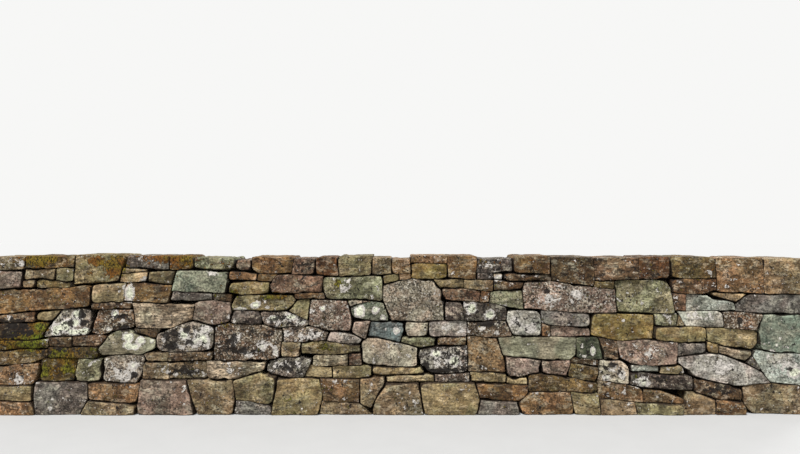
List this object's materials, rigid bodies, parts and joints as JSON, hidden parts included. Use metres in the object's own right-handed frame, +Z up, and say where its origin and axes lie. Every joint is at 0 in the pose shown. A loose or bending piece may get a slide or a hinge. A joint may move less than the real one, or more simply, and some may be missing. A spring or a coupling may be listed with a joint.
{
  "type": "dry stone retaining wall",
  "caption": "Length of low dry stone wall with two battered faces of irregular field stones over a packed core, with through stones, tied ends and a course of flat caps.",
  "frame": {"origin": "on the ground, at the middle of the wall's base", "axes": "+X along the wall, to the right as seen from in front of it; -Y out of the front face; +Z up"},
  "size_m": [6.655, 0.6993, 1.264],
  "materials": {
    "foundation_stone": "rough earthy field stone",
    "face_stone": "weathered field stone with lichen",
    "back_stone": "weathered field stone with lichen",
    "pinning_stone": "small weathered field stone",
    "through_stone": "large weathered field stone",
    "end_stone": "weathered field stone with lichen",
    "core_stone": "packed broken stone",
    "cap_stone": "flat weathered field stone with moss"
  },
  "bodies": {
    "root": {"foundation_stones": "foundation_stone", "front_course_1": "face_stone", "front_course_2": "face_stone", "front_course_3": "face_stone", "front_course_4": "face_stone", "front_course_5": "face_stone", "front_course_6": "face_stone", "front_course_7": "face_stone", "back_course_1": "back_stone", "back_course_2": "back_stone", "back_course_3": "back_stone", "back_course_4": "back_stone", "back_course_5": "back_stone", "back_course_6": "back_stone", "back_course_7": "back_stone", "front_pinnings": "pinning_stone", "back_pinnings": "pinning_stone", "through_stones": "through_stone", "left_end_stones": "end_stone", "right_end_stones": "end_stone", "hearting": "core_stone", "cap_stones": "cap_stone"}
  },
  "joints": []
}
